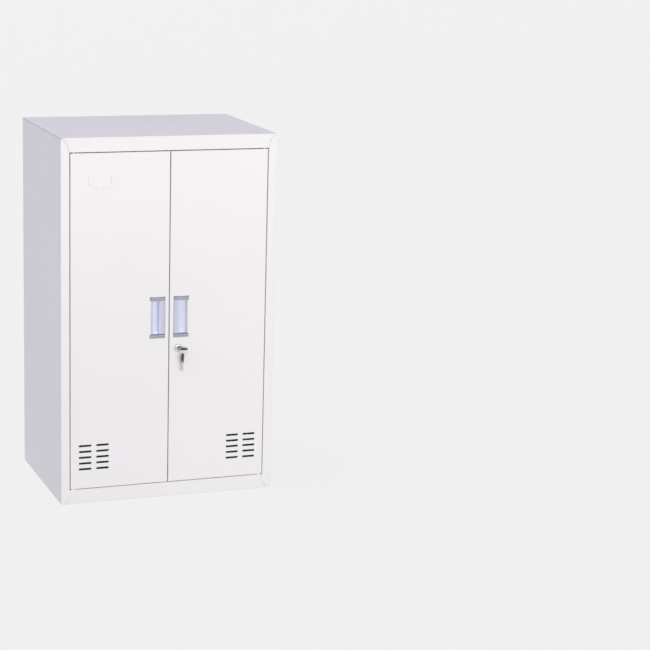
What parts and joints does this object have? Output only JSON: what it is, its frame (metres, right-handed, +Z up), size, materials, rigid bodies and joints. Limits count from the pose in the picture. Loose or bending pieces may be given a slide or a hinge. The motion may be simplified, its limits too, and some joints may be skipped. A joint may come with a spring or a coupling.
{
  "type": "tool cabinet with doors",
  "caption": "Upright sheet-steel cabinet with two hinged doors, lift-out shelves, recessed pull handles, vent slots, a card holder and a cam lock with keys.",
  "frame": {"origin": "on the floor, at the middle of the carcass footprint (side to side, and midway between door face and back panel)", "axes": "+X to the viewer's right when facing the doors, +Y from the doors towards the back panel, +Z up"},
  "size_m": [0.6, 0.4776, 1],
  "materials": {
    "white_paint": "semi-gloss fine powder coat",
    "inner_paint": "semi-gloss fine powder coat",
    "white_nylon": "moulded nylon",
    "zinc_steel": "zinc plated",
    "chrome_lock": "chrome plated zinc casting",
    "key_steel": "nickel plated",
    "black_plastic": "moulded, slightly glossy",
    "handle_plastic": "bluish grey, slightly translucent",
    "cap_plastic": "grey, moulded"
  },
  "bodies": {
    "cabinet": {"left_side_panel": "white_paint", "right_side_panel": "white_paint", "top_panel": "white_paint", "bottom_panel": "white_paint", "back_panel": "white_paint", "shelf_brackets": "inner_paint", "panel_screws": "zinc_steel", "door_bumpers": "white_nylon", "hinge_pin_bushes": "white_nylon", "left_bottom_pivot": "zinc_steel", "right_bottom_pivot": "zinc_steel", "pivot_washers": "white_nylon"},
    "upper_shelf": {"upper_shelf": "inner_paint"},
    "middle_shelf": {"middle_shelf": "inner_paint"},
    "lower_shelf": {"lower_shelf": "inner_paint"},
    "left_door": {"left_door_panel": "white_paint", "left_door_stiffener": "white_paint", "left_top_hinge_bracket": "zinc_steel", "left_bottom_hinge_bracket": "zinc_steel", "left_pivot_bush": "white_nylon", "left_handle": "handle_plastic", "left_handle_end_caps": "cap_plastic", "left_hinge_spring": "zinc_steel"},
    "left_pin": {"left_hinge_pin": "zinc_steel"},
    "right_door": {"right_door_panel": "white_paint", "right_door_stiffener": "white_paint", "right_top_hinge_bracket": "zinc_steel", "right_bottom_hinge_bracket": "zinc_steel", "right_pivot_bush": "white_nylon", "right_handle": "handle_plastic", "right_handle_end_caps": "cap_plastic", "right_hinge_spring": "zinc_steel", "lock_body": "chrome_lock", "lock_nut": "zinc_steel"},
    "right_pin": {"right_hinge_pin": "zinc_steel"},
    "lock_plug": {"lock_plug": "chrome_lock", "lock_cam": "zinc_steel", "cam_screw": "zinc_steel", "key_blade": "key_steel"},
    "key_head": {"key_head": "black_plastic", "key_rivet": "zinc_steel"},
    "key_ring": {"key_ring": "key_steel"},
    "spare_key_head": {"spare_key_head": "black_plastic", "spare_key_rivet": "zinc_steel"},
    "spare_key_blade": {"spare_key_blade": "key_steel"}
  },
  "joints": [
    {"name": "left_door_swing", "type": "hinge", "parent": "cabinet", "child": "left_door", "pos_m": [-0.2646, -0.2195, 0.5], "axis": [0, 0, -1], "range_deg": [0, 125]},
    {"name": "right_door_swing", "type": "hinge", "parent": "cabinet", "child": "right_door", "pos_m": [0.2646, -0.2195, 0.5], "axis": [0, 0, 1], "range_deg": [0, 125]},
    {"name": "left_hinge_pin_pull", "type": "slide", "parent": "left_door", "child": "left_pin", "axis": [0, 0, -1], "range_m": [0, 0.009], "stiffness_N_per_m": 400, "springref_m": -0.012, "deforming": ["left_hinge_spring"]},
    {"name": "right_hinge_pin_pull", "type": "slide", "parent": "right_door", "child": "right_pin", "axis": [0, 0, -1], "range_m": [0, 0.009], "stiffness_N_per_m": 400, "springref_m": -0.012, "deforming": ["right_hinge_spring"]},
    {"name": "lock_turn", "type": "hinge", "parent": "right_door", "child": "lock_plug", "pos_m": [0.0265, -0.225, 0.419], "axis": [0, 1, 0], "range_deg": [0, 90]},
    {"name": "key_fold", "type": "hinge", "parent": "lock_plug", "child": "key_head", "pos_m": [0.0265, -0.242, 0.419], "axis": [0, 0, -1], "range_deg": [0, 90]},
    {"name": "key_ring_swing", "type": "hinge", "parent": "key_head", "child": "key_ring", "pos_m": [0.03802, -0.23671, 0.419], "axis": [-0.7193, 0.6947, 0], "range_deg": [-2, 8]},
    {"name": "spare_key_swing", "type": "hinge", "parent": "key_ring", "child": "spare_key_head", "pos_m": [0.03638, -0.23512, 0.40134], "axis": [-0.7036, 0.6795, 0.2079], "range_deg": [0, 30]},
    {"name": "spare_key_fold", "type": "hinge", "parent": "spare_key_head", "child": "spare_key_blade", "pos_m": [0.03638, -0.23512, 0.38324], "axis": [0.848, -0.5299, 0], "range_deg": [-90, 0]},
    {"name": "upper_shelf_lift", "type": "slide", "parent": "cabinet", "child": "upper_shelf", "axis": [0, 0, 1], "range_m": [0, 0.03]},
    {"name": "middle_shelf_lift", "type": "slide", "parent": "cabinet", "child": "middle_shelf", "axis": [0, 0, 1], "range_m": [0, 0.03]},
    {"name": "lower_shelf_lift", "type": "slide", "parent": "cabinet", "child": "lower_shelf", "axis": [0, 0, 1], "range_m": [0, 0.03]}
  ]
}
